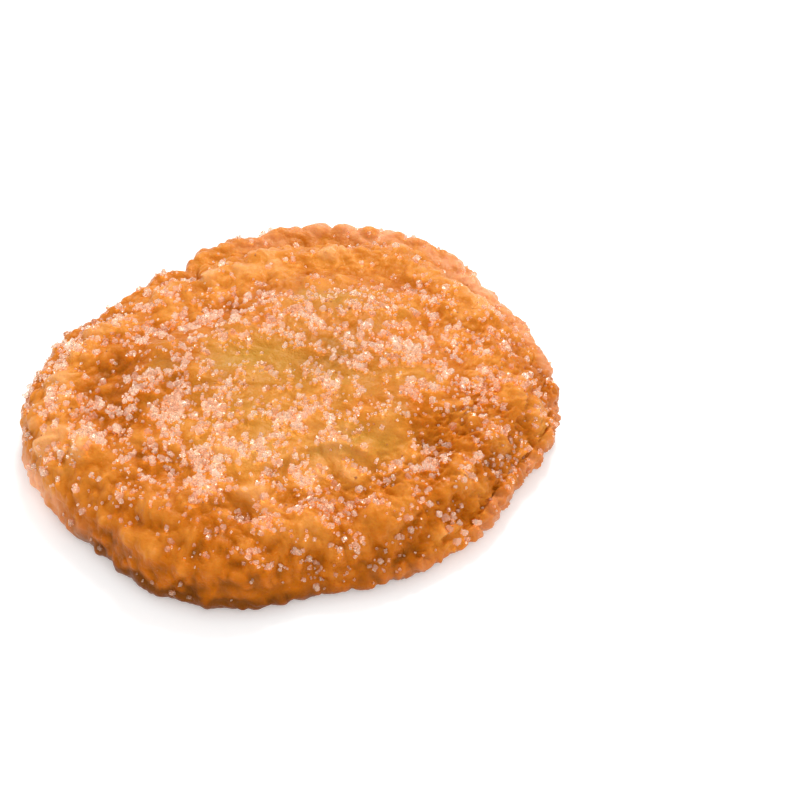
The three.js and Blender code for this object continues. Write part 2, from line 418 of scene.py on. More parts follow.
@dataclass
class Relief:
    """How far the fried dough stands off the plain dough, along its normal."""

    section: Section
    dice_seed: int = 20824
    cap_spread: Pair = (0.6, 1.3)
    ribs: Lobes = Lobes(44, 0.8, (1.3, 3, 0.7, 0.9, 7, 2.1))
    scallops: Lobes = Lobes(50, 1, (2.4, 4, 1.9, 1.4, 9, 0.4))
    scallop_share: Sizes = (1, 1.3, 1.8, 1.3, 1, 0.7, 0.35, 0.9)
    frills: Lobes = Lobes(88, 0.6, (3.2, 5, 0.2, 1.9, 12, 1.4))
    frill_place: Pair = (-18, 52)
    swells: tuple[tuple[float, float, int], ...] = ((34, 0.55, 9), (13, 0.32, 12))
    swell_spread: Pair = (0.75, 1.35)
    swell_on_side: float = 0.6
    groove_spread: float = 0.3
    blisters_on_lip: float = 0.4
    bubble_share: float = 0.7
    bubbles_on_frills: float = 1.1
    puffs: Ripple = Ripple(5.2, 5)
    fine_puffs: Ripple = Ripple(2.6, 6)
    fine_puff_share: float = 0.55
    puff_level: float = 1.2
    puff_height: float = 0.32
    puffs_on_lip: float = 0.85
    puffs_in_middle: float = 0.6
    window_smoothness: float = 0.75
    crinkles: Ripple = Ripple(2.1, 7)
    crinkle_level: float = 0.8
    crinkle_height: float = 0.42
    dome_height: float = 1.2
    dome_bubbles: float = 0.5
    dome_puffs: float = 0.3
    dome_most: float = 1.1
    dome_bulbs: float = 0.8
    dice: Dice = field(init=False)
    caps: list[Cap] = field(init=False)
    small_caps: list[Cap] = field(init=False)
    bulbs: list[Cap] = field(init=False)
    waves: list[Wave] = field(init=False)

    def __post_init__(self) -> None:
        """Throws the dice in the same order as the solid: large blisters, then swells."""
        self.dice = Dice(self.dice_seed)
        self.caps = self.draw_caps(self.dice, ROLL_BLISTERS, SHEET_BLISTERS)
        self.waves = [self.draw_wave(*swell) for swell in self.swells for _ in range(swell[2])]
        small_dice = Dice(self.dice_seed + 1)
        self.small_caps = self.draw_caps(small_dice, SMALL_ROLL_BLISTERS, SMALL_SHEET_BLISTERS)
        bearing, station, radius = np.array(BULBS).T
        middles = self.section.points(np.radians(bearing), station)
        self.bulbs = list(zip(middles, radius, radius * BULB_RISE))

    def draw_caps(self, dice: Dice, *crops: BlisterCrop) -> list[Cap]:
        """Throws each crop's caps.

        Args:
            dice: The dice to throw.
            crops: The crops, in order.

        Returns:
            The middle, radius and height of each cap.
        """
        caps = []
        for crop in crops:
            for _ in range(crop.count):
                bearing, station = dice.roll(0, TURN), dice.roll(crop.first, crop.last)
                radius = dice.roll(*crop.radius)
                middle = self.section.points(np.array([bearing]), np.array([station]))[0]
                caps.append((middle, radius, radius * crop.rise * dice.roll(*self.cap_spread)))
        return caps

    def draw_wave(self, wavelength: float, height: float, waves: int) -> Wave:
        """Throws one wave of a swell.

        Args:
            wavelength: Mean length of the swell's waves, in millimetres.
            height: The swell's height.
            waves: How many waves share it.

        Returns:
            The wave vector, the start and the height.
        """
        way = unit(np.array([self.dice.bell(), self.dice.bell(), self.dice.bell()]))
        way = way * TURN / (wavelength * self.dice.roll(*self.swell_spread))
        return way, self.dice.roll(0, TURN), height * math.sqrt(2 / waves)

    @staticmethod
    def cap_lift(points: Array, caps: list[Cap]) -> Array:
        """Soft caps h(1 - d^2 / r^2)^2 that run into one another, as the root of their squares' sum.

        Args:
            points: The points on the plain dough.
            caps: The middle, radius and height of each cap.

        Returns:
            The lift at each point, in millimetres.
        """
        squares = np.zeros(len(points))
        order = np.argsort(points[:, 0])
        across = points[order, 0]
        for middle, radius, height in caps:
            first, last = np.searchsorted(across, (middle[0] - radius, middle[0] + radius))
            near = order[first:last]
            away = np.minimum(((points[near] - middle) ** 2).sum(axis=1) / radius**2, 1)
            squares[near] += (height * (1 - away) ** 2) ** 2
        return np.sqrt(squares)

    def lifts(self, bearing: Array, station: Array, points: Array) -> dict[str, Array]:
        """Every part of the relief.

        Args:
            bearing: One for each point.
            station: One for each point.
            points: The same points on the plain dough.

        Returns:
            The whole lift, and the blisters' share of it, as 0 between blisters to about 1.
        """
        on_top = 1 - smoothstep(station, Station.TROUGH, Station.GROOVE)
        groove = Station.GROOVE
        past_groove = smoothstep(station, groove - self.groove_spread, groove + self.groove_spread)
        on_face = smoothstep(station, Station.TROUGH, groove) * (1 - past_groove)
        on_edge = smoothstep(station, groove, Station.EDGE)
        off_floor = 1 - smoothstep(station, Station.EDGE, Station.FOOT)
        on_rim = smoothstep(station, Station.SHOULDER, Station.TROUGH)
        frilled = bell(bearing, *self.frill_place)

        on_lip = 1 - (1 - self.blisters_on_lip) * past_groove
        caps = self.cap_lift(points, self.caps) * on_lip
        puffed = 1 - (1 - self.puffs_on_lip) * past_groove
        bubbles = self.cap_lift(points, self.small_caps) * puffed
        bulbs = self.cap_lift(points, self.bulbs)
        swell = sum(height * np.sin(points @ way + start) for way, start, height in self.waves)
        swell = swell * (self.swell_on_side + (1 - self.swell_on_side) * on_top)
        ribs = self.ribs.lift(bearing) * on_face
        scallops = self.scallops.lift(bearing) * round_at(self.scallop_share, bearing) * on_edge
        frills = self.frills.lift(bearing) * frilled * smoothstep(station, Station.CREST, Station.LIP)
        sheet = sum(fold.lift(points) for fold in FOLDS + CREASES) - total(HOLLOWS, points)
        puffs = np.abs(self.puffs.at(points)) + self.fine_puff_share * np.abs(self.fine_puffs.at(points))
        puffs = puffs - self.puff_level
        puffs = puffs * (self.puffs_in_middle + (1 - self.puffs_in_middle) * on_rim)
        puffs = puffs * (1 - self.window_smoothness * np.clip(total(WINDOWS, points), 0, 1)) * puffed
        crinkle = self.crinkle_level - np.abs(self.crinkles.at(points))
        crinkle = self.crinkle_height * crinkle * frilled * on_rim
        whole = caps + bubbles * (self.bubble_share + self.bubbles_on_frills * frilled) + swell
        whole = whole + ribs + scallops + frills + sheet * on_top
        whole = whole + self.puff_height * puffs + crinkle + bulbs
        # How high each point sits on its blister; the finish paints crowns paler with it, as a painted
        # highlight
        dome = caps / self.dome_height + self.dome_bubbles * bubbles + self.dome_puffs * puffs
        dome = np.clip(dome, 0, self.dome_most) + self.dome_bulbs * bulbs
        return {"whole": off_floor * whole, "dome": dome}


# Meshes


@dataclass
class Surface:
    """A triangle mesh in millimetres, with its vertex normals and its triangles' areas."""

    points: Array
    triangles: Array
    smooth: bool = False
    normals: Array = field(init=False)
    areas: Array = field(init=False)

    def __post_init__(self) -> None:
        """Works out each vertex normal as the sum of its triangles' area vectors, and their areas."""
        corners = self.points[self.triangles]
        faces = np.cross(corners[:, 1] - corners[:, 0], corners[:, 2] - corners[:, 0])
        sums = np.zeros_like(self.points)
        np.add.at(sums, self.triangles.T, faces)
        self.normals = unit(sums)
        self.areas = np.linalg.norm(faces, axis=1) / 2

    def piece(self, name: str, seat: Array, values: dict[str, Array], material: Material) -> Piece:
        """Makes the mesh a Blender object.

        Args:
            name: The piece's name.
            seat: Where the plan's origin goes, in millimetres.
            values: Values for the vertices, by name.
            material: Its material.

        Returns:
            The object, at the origin, with its place in its mesh.
        """
        mesh = bpy.data.meshes.new(name)
        mesh.from_pydata(((self.points + seat) * MM).tolist(), [], self.triangles.tolist())
        mesh.polygons.foreach_set("use_smooth", np.full(len(self.triangles), self.smooth))
        for key, numbers in values.items():
            mesh.attributes.new(key, "FLOAT", "POINT").data.foreach_set("value", numbers.astype(np.float32))
        mesh.materials.append(material)
        mesh.update()
        piece = bpy.data.objects.new(name, mesh)
        bpy.context.scene.collection.objects.link(piece)
        return piece


def join_rings(first: Array, second: Array) -> Array:
    """Triangles between two rings.

    Args:
        first: The vertex numbers of the inner or upper ring, in order of bearing.
        second: Those of the next ring, as many or twice as many.

    Returns:
        The triangles, facing out.
    """
    following = np.roll(first, -1)
    if len(second) == len(first):
        across = np.roll(second, -1)
        rows = [(first, second, across), (first, across, following)]
    else:
        near, middle = second[::2], second[1::2]
        rows = [(first, near, middle), (first, middle, following), (following, middle, np.roll(near, -1))]
    return np.concatenate([np.stack(row, axis=-1) for row in rows])


# Materials


class MixSocket(IntEnum):
    """Where a mix node of colours keeps its share, its result and its two colours."""

    SHARE = 0
    RESULT = 2
    ONE = 6
    OTHER = 7


class Shader:
    """A material under construction, with short calls that add and join its nodes."""

    SMOOTH = {"interpolation_type": "SMOOTHSTEP"}

    def __init__(self, name: str) -> None:
        """Starts a material with one Principled surface.

        Args:
            name: The material's name.
        """
        self.material = bpy.data.materials.new(name)
        self.material.use_nodes = True
        self.tree = self.material.node_tree
        self.surface = self.tree.nodes["Principled BSDF"]
        self.place = self.tree.nodes.new("ShaderNodeTexCoord").outputs["Object"]

    def fill(self, node: bpy.types.Node, sockets: Sockets) -> None:
        """Links other nodes' sockets to a node's own, or sets numbers and colours on them.

        Args:
            node: The node.
            sockets: What each of its sockets takes, by the socket's name or number.
        """
        for key, value in sockets.items():
            socket = node.inputs[key]
            if isinstance(value, Socket):
                self.tree.links.new(value, socket)
            elif isinstance(value, tuple):
                socket.default_value = (*value, 1)[: len(socket.default_value)]
            else:
                socket.default_value = value

    def dress(self, sockets: Sockets) -> None:
        """Fills the surface's own sockets."""
        self.fill(self.surface, sockets)

    def add(self, kind: str, settings: dict[str, str], sockets: Sockets) -> bpy.types.Node:
        """Adds a node.

        Args:
            kind: Its type.
            settings: Its settings, by name.
            sockets: What its sockets take.

        Returns:
            The node.
        """
        node = self.tree.nodes.new(kind)
        for name, setting in settings.items():
            setattr(node, name, setting)
        self.fill(node, sockets)
        return node

    def attribute(self, name: str) -> Socket:
        """A vertex value of the piece."""
        return self.add("ShaderNodeAttribute", {"attribute_name": name}, {}).outputs["Fac"]

    def noise(self, grain: float, detail: float = 2.0, rough: float = 0.5) -> Socket:
        """Noise on Object coordinates, with lumps of about a grain in millimetres."""
        sockets = {"Vector": self.place, "Scale": 1 / (grain * MM), "Detail": detail, "Roughness": rough}
        return self.add("ShaderNodeTexNoise", {}, sockets).outputs["Fac"]

    def sum(self, one: Value, share: Value, other: Value = 0.0) -> Socket:
        """One value times a share, plus another."""
        sockets = {0: one, 1: share, 2: other}
        return self.add("ShaderNodeMath", {"operation": "MULTIPLY_ADD"}, sockets).outputs[0]

    def span(self, value: Socket, low: float, high: float) -> Socket:
        """Stretches a value smoothly so that low becomes 0 and high becomes 1, and clips it."""
        sockets = {"Value": value, "From Min": low, "From Max": high}
        return self.add("ShaderNodeMapRange", self.SMOOTH, sockets).outputs["Result"]

    def ramp(self, value: Socket, stops: Sizes, colours: tuple[Colour, ...]) -> Socket:
        """A colour for each value, blended between stops.

        Args:
            value: The value.
            stops: The stops, rising.
            colours: A colour for each stop.

        Returns:
            The colour.
        """
        node = self.add("ShaderNodeValToRGB", {}, {"Fac": value})
        elements = node.color_ramp.elements
        for _ in range(len(stops) - len(elements)):
            elements.new(1)
        for element, stop, colour in zip(elements, stops, colours):
            element.position = stop
            element.color = (*colour, 1)
        return node.outputs["Color"]

    def mix(self, share: Value, one: Value, other: Value) -> Socket:
        """Two colours mixed, by a share of the other."""
        sockets = {MixSocket.SHARE: share, MixSocket.ONE: one, MixSocket.OTHER: other}
        return self.add("ShaderNodeMix", {"data_type": "RGBA"}, sockets).outputs[MixSocket.RESULT]

    def bump(self, height: Socket, depth: float, strength: float) -> None:
        """Roughens the surface's normal by a height whose full range is a depth in millimetres."""
        sockets = {"Strength": strength, "Distance": depth * MM, "Height": height}
        self.dress({"Normal": self.add("ShaderNodeBump", {}, sockets).outputs["Normal"]})


@dataclass(frozen=True)
class CrustFinish:
    """Fried dough: gold to deep amber by browning and painted light, olive gold where the sheet is thin."""

    pale_gold: Colour = (0.75, 0.34, 0.115)
    golden: Colour = (0.63, 0.213, 0.024)
    amber: Colour = (0.46, 0.111, 0.001)
    brown: Colour = (0.16, 0.037, 0.001)
    stops: Sizes = (0.05, 0.34, 0.66, 1.0)
    window: Colour = (0.48, 0.215, 0.028)
    # Paler band on the lip and edge: partly the lower sheet's own colour, partly painted bounce light,
    # backlight and sheen
    underside: Colour = (0.8, 0.36, 0.185)
    dusted: Colour = (0.6, 0.25, 0.09)
    roughness: float = 0.3
    lightening: float = -0.14
    glow_radius: Colour = (1.0, 0.42, 0.14)
    glow_depth: float = 3

    def material(self) -> Material:
        """Reads the vertex values toast, window, under and dust, with noises.

        Returns:
            The material.
        """
        shader = Shader("fried dough")
        blotch = shader.noise(grain=7, detail=3)
        mottle = shader.noise(grain=1.6, detail=3)
        # Browning, painted shade and painted highlights all come in through this vertex value
        toast_and_painted_light = shader.sum(blotch, share=0.4, other=shader.attribute("toast_and_painted_light"))
        toast_and_painted_light = shader.sum(mottle, share=0.24, other=toast_and_painted_light)
        toast_and_painted_light = shader.sum(toast_and_painted_light, share=1, other=self.lightening)
        colour = shader.ramp(toast_and_painted_light, self.stops, (self.pale_gold, self.golden, self.amber, self.brown))
        colour = shader.mix(shader.attribute("window"), colour, self.window)
        # Paler lip band, partly painted bounce light, backlight and sheen
        under = shader.sum(shader.attribute("under"), share=shader.span(blotch, low=0.28, high=0.6))
        colour = shader.mix(under, colour, self.underside)
        powder = shader.span(shader.noise(grain=0.7, detail=3, rough=0.6), low=0.42, high=0.68)
        dust = shader.sum(shader.sum(shader.attribute("dust"), share=powder), share=0.6)
        colour = shader.mix(dust, colour, self.dusted)
        rough = shader.sum(mottle, share=0.16, other=self.roughness)
        shader.dress({
            "Base Color": colour,
            "Roughness": shader.sum(dust, share=0.3, other=rough),
            "IOR": 1.45,
            "Specular IOR Level": 0.3,
            "Specular Tint": (1.0, 0.6, 0.15),
            "Subsurface Weight": 0.35,
            "Subsurface Scale": self.glow_depth * MM,
            "Subsurface Radius": self.glow_radius,
            "Coat Weight": 0.04,
            "Coat Roughness": 0.12,
        })
        pores = shader.noise(grain=0.45, detail=3)
        dimples = shader.sum(pores, share=0.6, other=shader.noise(grain=1.3))
        shader.bump(dimples, depth=0.36, strength=0.8)
        return shader.material


@dataclass(frozen=True)
class SugarFinish:
    """Sugar crystals: see-through, clear to pinkish, some stained tan by cinnamon, some tan as painted
    shade.
    """

    name: str
    clear: Colour = (0.99, 0.9, 0.81)
    pink: Colour = (0.96, 0.75, 0.59)
    tan: Colour = (0.86, 0.53, 0.34)
    stops: Sizes = (0.1, 0.55, 1.0)
    clearness: float = 0.75
    roughness: float = 0.05

    def material(self) -> Material:
        """Reads the vertex value tint, one for each crystal.

        Returns:
            The material.
        """
        shader = Shader(self.name)
        stain_and_shade = shader.sum(shader.noise(grain=0.5), share=0.25, other=shader.attribute("tint_and_shade"))
        shader.dress({
            "Base Color": shader.ramp(stain_and_shade, self.stops, (self.clear, self.pink, self.tan)),
            "Roughness": shader.sum(shader.noise(grain=0.3), share=0.18, other=self.roughness),
            "IOR": 1.5,
            "Specular Tint": (1.0, 0.84, 0.7),
            "Transmission Weight": self.clearness,
        })
        return shader.material


@dataclass(frozen=True)
class SpeckFinish:
    """Ground cinnamon: dry red-brown flakes."""

    light: Colour = (0.55, 0.22, 0.08)
    dark: Colour = (0.36, 0.11, 0.03)
    stops: Sizes = (0.0, 1.0)
    roughness: float = 0.7

    def material(self) -> Material:
        """Reads the vertex value tint, one for each flake.

        Returns:
            The material.
        """
        shader = Shader("cinnamon")
        shader.dress({
            "Base Color": shader.ramp(shader.attribute("tint_and_shade"), self.stops, (self.light, self.dark)),
            "Roughness": shader.sum(shader.noise(grain=0.3), share=0.2, other=self.roughness),
        })
        return shader.material


# Pieces


# Where the sugar has drifted, or lies thinner by a negative amount
DRIFTS = patches(
    (6, 17, 13, 5, 0.6), (24, 9, 13, 4.5, 0.34), (39, 6, 5, 6.5, 0.28), (37, -3, 4.5, 4, 0.3),
    (-21, -8, 9, 6.5, 0.75), (-37, -11, 7, 4, 0.45), (8.5, -3, 8, 3, 0.65), (1, -11.5, 6, 4, 0.5),
    (16, -9, 5, 4, 0.3), (-12, -22, 13, 5, 0.5), (-15, -32, 7, 4, 0.4), (6, -31, 7, 3, 0.4),
    (-7, -42, 4, 3, 0.16), (15, -41, 7, 4, 0.28), (2, -43, 7, 4, 0.16), (23, -29, 6, 4, 0.24),
    (30, -34, 5, 4, 0.2), (-43, -19, 4, 4, 0.15), (-3, -36, 8, 3, 0.22), (-20, 19, 12, 11, 0.1),
    (-47, 5, 3.5, 9, 0.3), (-49, -8, 4, 5, -0.12), (31, -21, 4, 3, 0.35), (51, -4, 3, 6, 0.1),
    (-37, 5, 5.5, 8, -0.2), (-6, -2, 5, 3, -0.2), (46, -2, 4, 4, -0.2), (33, -11.5, 6, 3.5, -0.14),
    (-35, -20, 5, 4, -0.12), (44, -26, 5, 6, -0.12), (21, -13, 6, 5, -0.15), (3, 38, 18, 6, -0.1),
    (52, 20, 6, 11, -0.2), (40, 39, 9, 9, -0.2), (18, 54, 15, 7, -0.2), (-12, 52, 13, 7, -0.2),
)
# Where the sheet is thin enough to look olive
THIN = (*WINDOWS, Patch(-2, -20, 18, 7, 0.45), Patch(-8, -9, 9, 4, 0.3))
# Darker, or paler by a negative amount, than the ring: partly browning, partly painted shade and light
BROWNING_AND_PAINTED_LIGHT = patches(
    (-32, 8, 11, 16, 0.05), (-20, -1, 7, 8, 0.3), (8, 5, 12, 12, 0.34), (0, -22, 18, 7, -0.26),
    (-10, -29, 8, 6, -0.14), (-49, -17, 6, 9, -0.12), (15, -17, 12, 8, -0.17), (10, -30, 8, 5, -0.1),
    (34, 12, 12, 18, -0.16), (-32, -31, 10, 9, 0.14), (3, -41, 6, 4, -0.1), (-14, -43, 13, 7, 0.21),
    (9, -37, 8, 5, 0.12), (19, -36, 7, 5, 0.26), (39, -3, 7, 7, 0.1), (46, -11, 6, 9, -0.12),
    (25, -26, 8, 6, 0.14), (40, -16, 6, 6, 0.1), (36, -34, 9, 8, -0.16), (6, -46, 7, 4, -0.06),
    (0, 24, 14, 6, 0.1), (8, 38, 24, 5, -0.1),
)


@dataclass(frozen=True)
class SugarFall:
    """How thick the sugar lies: a thin scatter, less on the far and near sides, and the drifts."""

    scatter: float = 0.2
    least: float = 0.02
    far: Pair = (20, 38)
    far_loss: float = 0.7
    near: Pair = (14, 34)
    near_loss: float = 0.75
    window_loss: float = 0.7
    level: float = 0.6
    broad: Ripple = Ripple(9, 11)
    broad_share: float = 0.4
    narrow: Ripple = Ripple(4, 12)
    narrow_share: float = 0.5
    limits: Pair = (0.05, 2.2)

    def at(self, points: Array) -> Array:
        """The density, broken up by noise.

        Args:
            points: The points on the dough.

        Returns:
            The density at each point, about 1 in a thick drift.
        """
        drifts = self.scatter * (1 - self.far_loss * smoothstep(points[:, 1], *self.far))
        drifts = drifts * (1 - self.near_loss * smoothstep(-points[:, 1], *self.near))
        drifts = np.maximum(drifts + total(DRIFTS, points), self.least)
        drifts = drifts * (1 - self.window_loss * np.clip(total(WINDOWS, points), 0, 1))
        broken = self.level + self.broad_share * self.broad.at(points)
        broken = broken + self.narrow_share * self.narrow.at(points)
        return drifts * np.clip(broken, *self.limits)


@dataclass(frozen=True)
class Tones:
    """Where the skin is browner or paler: its browning, with painted shade and painted light.

    A pair that isn't a place is two stations, or two distances in plan, between which an effect
    comes or goes.
    """

    rings: tuple[Pair, ...] = (
        (0, 0.3), (0.6, 0.32), (1, 0.4), (1.5, 0.52), (2, 0.62), (2.6, 0.5), (3, 0.42),
        (3.6, 0.5), (4, 0.62), (4.4, 0.55), (5, 0.5), (6, 0.6), (7, 0.85), (8, 0.7),
    )
    border: Ripple = Ripple(7, 21)
    border_wander: float = 0.22
    # Painted shade: the near lower edge of the lip is darkened
    near_shade_place: Pair = (250, 32)
    near: Pair = (4.6, 5.8)
    near_edge_shade: float = 0.42
    # Painted sheen: the back of the lip is made a little paler
    lip_place: Pair = (85, 50)
    lip: Pair = (3.7, 4.6)
    lip_sheen: float = 0.04
    # Painted light: the far side is made paler, as if lit from behind
    far: Pair = (10, 40)
    far_backlight: float = 0.1
    # Painted light: the left is made paler, as if lit from the left
    left: Pair = (36, 50)
    left_painted_light: float = 0.14
    middle: Pair = (0.5, 1.25)
    middle_window: float = 0.42
    thin_window: float = 0.85
    window_on_dome: float = 0.6
    # Painted highlights: blister crowns are made paler, the more so in the middle
    dome_highlight: float = 0.32
    middle_dome_highlight: float = 0.14
    # Paler band on the lip at three bearings: partly the lower sheet, partly painted bounce light,
    # backlight and sheen
    pale_and_lit_places: tuple[tuple[float, Pair], ...] = ((1, (200, 13)), (0.95, (56, 48)), (0.4, (330, 30)))
    inward_place: Pair = (48, 40)
    under_start: Pair = (4.2, 5.6)
    under_end: Pair = (6.6, 7.4)
    dust_end: Pair = (3.6, 5.5)

    def at(
        self, bearing: Array, station: Array, plain: Array, dome: Array, sugar: Array
    ) -> dict[str, Array]:
        """The vertex values that the finish reads.

        Args:
            bearing: One for each point.
            station: One for each point.
            plain: The points on the plain dough.
            dome: How high each point is on its blister.
            sugar: How thick the sugar lies on it.

        Returns:
            toast, window, under and dust, each about 0 to 1.
        """
        # How dark the skin is: its browning by station, with painted shade and painted light added below
        toast_and_painted_light = np.interp(station, *np.array(self.rings).T)
        station = station + self.border_wander * self.border.at(plain)
        # Painted shade along the near lower edge
        near = bell(bearing, *self.near_shade_place) * smoothstep(station, *self.near)
        on_lip = smoothstep(station, *self.lip)
        toast_and_painted_light = toast_and_painted_light + self.near_edge_shade * near
        # Painted sheen on the back of the lip
        toast_and_painted_light = toast_and_painted_light - self.lip_sheen * on_lip * bell(bearing, *self.lip_place)
        # Painted light on the far side
        toast_and_painted_light = toast_and_painted_light - self.far_backlight * smoothstep(plain[:, 1], *self.far)
        # Painted light on the left
        toast_and_painted_light = toast_and_painted_light - self.left_painted_light * smoothstep(-plain[:, 0], *self.left)
        # Patches of browning, painted shade and painted light
        toast_and_painted_light = toast_and_painted_light + total(BROWNING_AND_PAINTED_LIGHT, plain)
        middle = 1 - smoothstep(station, *self.middle)
        # Painted highlights on the blister crowns
        toast_and_painted_light = toast_and_painted_light - (self.dome_highlight + self.middle_dome_highlight * middle) * dome
        window = np.clip(self.middle_window * middle + self.thin_window * total(THIN, plain), 0, 1)
        window = window * (1 - self.window_on_dome * np.clip(dome, 0, 1))
        # Paler band on the lip and edge: partly the lower sheet's own colour, partly painted light
        pale = sum(share * bell(bearing, *place) for share, place in self.pale_and_lit_places)
        inward = bell(bearing, *self.inward_place)
        under = smoothstep(station + inward, *self.under_start)
        under = under * (1 - smoothstep(station, *self.under_end)) * pale
        dust = np.clip(sugar * (1 - smoothstep(station, *self.dust_end)), 0, 1)
        return {"toast_and_painted_light": toast_and_painted_light, "window": window, "under": under, "dust": dust}


@dataclass
class Crust:
    """The dough's own skin, which stands for the solid fritter."""

    section: Section
    relief: Relief
    finish: CrustFinish = CrustFinish()
    tones: Tones = Tones()
    sugar: SugarFall = SugarFall()
    outer_points: int = 720
    inner_points: tuple[tuple[float, int], ...] = ((0.28, 180), (0.6, 360))
    rings_in_span: tuple[int, ...] = (44, 22, 19, 22, 12, 10, 6, 8)
    surface: Surface = field(init=False)
    seat: Array = field(init=False)

    def ring_stations(self) -> Array:
        """Stations of the rings, evenly spaced within each span."""
        steps = [span + np.arange(rings) / rings for span, rings in enumerate(self.rings_in_span)]
        return np.append(np.concatenate(steps)[1:], Station.FOOT)

    def points_in(self, station: float) -> int:
        """How many points a ring has: fewer near the middle."""
        fewer = [count for limit, count in self.inner_points if station < limit]
        return fewer[0] if fewer else self.outer_points

    def build(self) -> Piece:
        """Makes the skin: rings of points at stations and bearings, pushed out by the relief.

        Returns:
            The skin.
        """
        stations = self.ring_stations()
        counts = [self.points_in(station) for station in stations]
        bearing = np.concatenate([[0.0], *[np.arange(count) / count * TURN for count in counts], [0.0]])
        station = np.concatenate([[Station.MIDDLE], np.repeat(stations, counts), [Station.UNDER]])
        plain = self.section.points(bearing, station)
        lifts = self.relief.lifts(bearing, station, plain)
        points = plain + self.section.outward(bearing, station) * lifts["whole"][:, None]
        points[:, 2] = np.maximum(points[:, 2], 0)
        points[-1] = 0

        rings = np.split(np.arange(1, len(points) - 1), np.cumsum(counts)[:-1])
        under = np.full(len(rings[-1]), len(points) - 1)
        top = np.stack([np.zeros_like(rings[0]), rings[0], np.roll(rings[0], -1)], axis=-1)
        bottom = np.stack([rings[-1], under, np.roll(rings[-1], -1)], axis=-1)
        walls = [join_rings(first, second) for first, second in zip(rings, rings[1:])]
        self.surface = Surface(points, np.concatenate([top, *walls, bottom]), smooth=True)

        low, high = (np.array(corner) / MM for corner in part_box("fritter"))
        middle = (points.min(axis=0) + points.max(axis=0)) / 2
        self.seat = np.array([*((low + high) / 2 - middle)[:2], low[2]])
        values = self.tones.at(bearing, station, plain, lifts["dome"], self.sugar.at(plain))
        piece = self.surface.piece("crust", self.seat, values, self.finish.material())
        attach(piece, "root")
        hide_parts("fritter")
        return piece


@dataclass(frozen=True)
class GrainKind:
    """One kind of grain strewn on the crust; its size and heap are in millimetres."""

    piece: str
    finish: SugarFinish | SpeckFinish
    count: int
    size: Pair
    evenness: float
    heap: float
    sunk: float
    seed: int
    chamfer: float = 0.0
    shades: bool = False


GRAINS = (
    GrainKind(
        "sugar_crystals", SugarFinish("sugar crystals"), count=2050, size=(0.55, 1.4),
        evenness=0.95, heap=0.7, sunk=0.2, seed=31, chamfer=0.36,
    ),
    GrainKind(
        "fine_sugar", SugarFinish("fine sugar", roughness=0.25), count=3400, size=(0.3, 0.6),
        evenness=1.0, heap=0.4, sunk=0.15, seed=32,
    ),
    GrainKind(
        "cinnamon", SpeckFinish(), count=200, size=(0.16, 0.36),
        evenness=0.9, heap=0.4, sunk=0.25, seed=33, shades=True,
    ),
)


def crystal_template(chamfer: float) -> tuple[Array, Array]:
    """A cuboid from -1 to 1 whose edges and corners are cut off.

    Each corner s has a point on each of its three faces: s times 1 - chamfer, with the face's own
    axis left at s. Without a chamfer the three are one.

    Args:
        chamfer: How much is cut off, as a share of half the side.

    Returns:
        The points and the triangles, facing out.
    """
    signs = np.array([[x, y, z] for x in (-1, 1) for y in (-1, 1) for z in (-1, 1)], dtype=float)
    axes = np.eye(3, dtype=bool)
    points = np.where(axes[None], signs[:, None], signs[:, None] * (1 - chamfer)).reshape(-1, 3)
    points = np.unique(points.round(6), axis=0)
    shell = bmesh.new()
    for point in points:
        shell.verts.new(point)
    bmesh.ops.convex_hull(shell, input=shell.verts)
    bmesh.ops.triangulate(shell, faces=shell.faces)
    bmesh.ops.recalc_face_normals(shell, faces=shell.faces)
    shell.verts.index_update()
    corners = np.array([vertex.co for vertex in shell.verts])
    triangles = np.array([[vertex.index for vertex in face.verts] for face in shell.faces])
    shell.free()
    return corners, triangles


